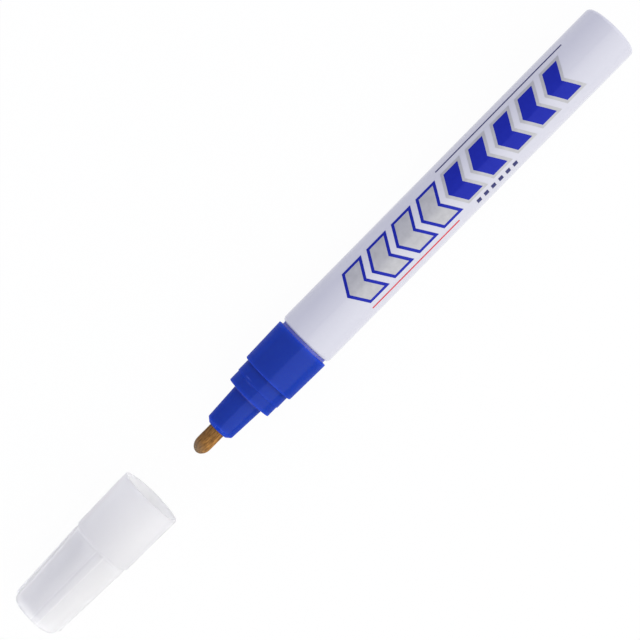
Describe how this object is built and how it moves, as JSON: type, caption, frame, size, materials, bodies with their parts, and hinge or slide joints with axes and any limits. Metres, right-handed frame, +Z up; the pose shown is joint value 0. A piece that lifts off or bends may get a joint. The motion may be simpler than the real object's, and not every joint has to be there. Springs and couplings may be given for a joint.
{
  "type": "paint marker",
  "caption": "Valve-action paint marker with a slim lacquered metal barrel, stepped blue front section, fibre bullet nib and a ribbed white push-on cap taken off.",
  "frame": {"origin": "bottom centre of the bounding box of the marker and its cap, on the surface they lie on", "axes": "+X along the marker towards the barrel's tail, so the nib and the cap point to -X; +Z up, through the printed side of the barrel"},
  "size_m": [0.1958, 0.0166, 0.0167],
  "materials": {
    "white_lacquer": "satin-gloss white lacquer on drawn aluminium, printed",
    "blue_plastic": "polished moulded polypropylene",
    "nib_fibre": "bonded polyester fibre, unused",
    "valve_plastic": "natural moulded polyacetal",
    "seal_rubber": "smooth moulded rubber",
    "spring_steel": "drawn stainless wire",
    "ball_steel": "polished stainless ball",
    "cap_plastic": "milky moulded polypropylene, satin",
    "liner_plastic": "natural moulded polyethylene"
  },
  "bodies": {
    "marker": {"barrel": "white_lacquer", "front_section": "blue_plastic", "valve_body": "valve_plastic", "spring_retainer": "valve_plastic", "valve_spring": "spring_steel"},
    "nib_and_stem": {"nib": "nib_fibre", "valve_stem": "valve_plastic", "valve_washer": "seal_rubber"},
    "ball": {"stirring_ball": "ball_steel"},
    "cap": {"cap_shell": "cap_plastic", "inner_cap": "liner_plastic"}
  },
  "joints": [
    {"name": "cap_slide", "type": "slide", "parent": "marker", "child": "cap", "axis": [1, 0, 0], "range_m": [0, 0.05165]},
    {"name": "nib_press", "type": "slide", "parent": "marker", "child": "nib_and_stem", "axis": [1, 0, 0], "range_m": [0, 0.0015], "stiffness_N_per_m": 1200, "springref_m": -0.002, "deforming": ["valve_spring"]},
    {"name": "ball_roll", "type": "slide", "parent": "marker", "child": "ball", "axis": [1, 0, 0], "range_m": [-0.03835, 0.03835]}
  ]
}
